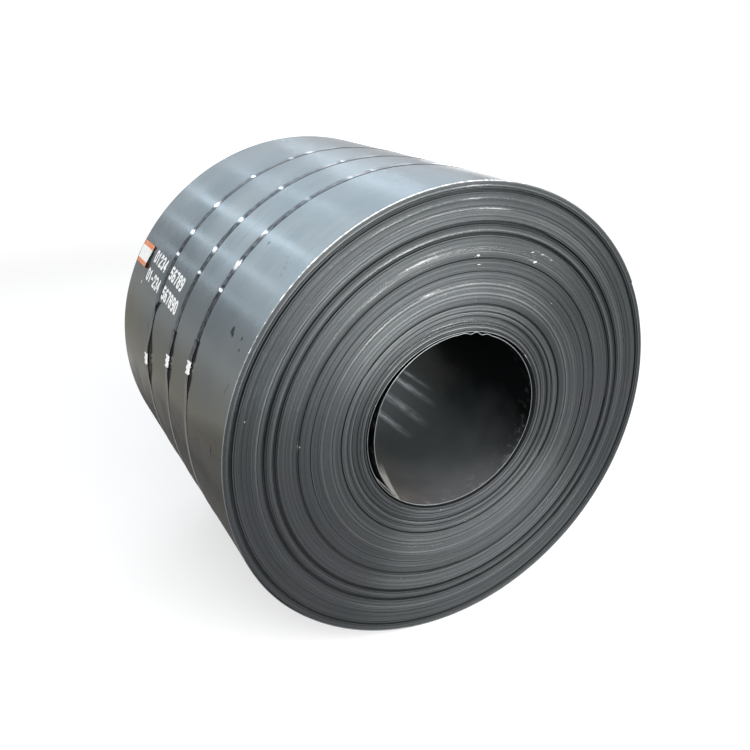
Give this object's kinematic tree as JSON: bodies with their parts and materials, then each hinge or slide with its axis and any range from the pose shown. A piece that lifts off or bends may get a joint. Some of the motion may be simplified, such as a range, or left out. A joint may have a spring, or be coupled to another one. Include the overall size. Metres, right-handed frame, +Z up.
{
  "type": "steel coil",
  "caption": "Wide hot-rolled steel strip wound into a coil, lying on its side, bound round its girth with flat steel straps and crimped seals.",
  "frame": {"origin": "on the floor under the middle of the coil", "axes": "+Z up, the coil's axis along Y with the labelled end towards +Y, the straps' seals on the -X side"},
  "size_m": [1.9687, 1.544, 1.9162],
  "materials": {
    "coil_steel": "blue-grey mill scale with a satin sheen, bare bright turn edges on the ends",
    "strap_steel": "dark blued strapping with worn bright edges",
    "seal_steel": "bright zinc plate, crimped",
    "marking_paint": "thin sprayed white stencil paint",
    "label_card": "plain white tag with two orange bands"
  },
  "bodies": {
    "root": {"coil": "coil_steel", "strap_near": "strap_steel", "strap_middle": "strap_steel", "strap_far": "strap_steel", "seal_near": "seal_steel", "seal_middle": "seal_steel", "seal_far": "seal_steel"}
  },
  "joints": []
}
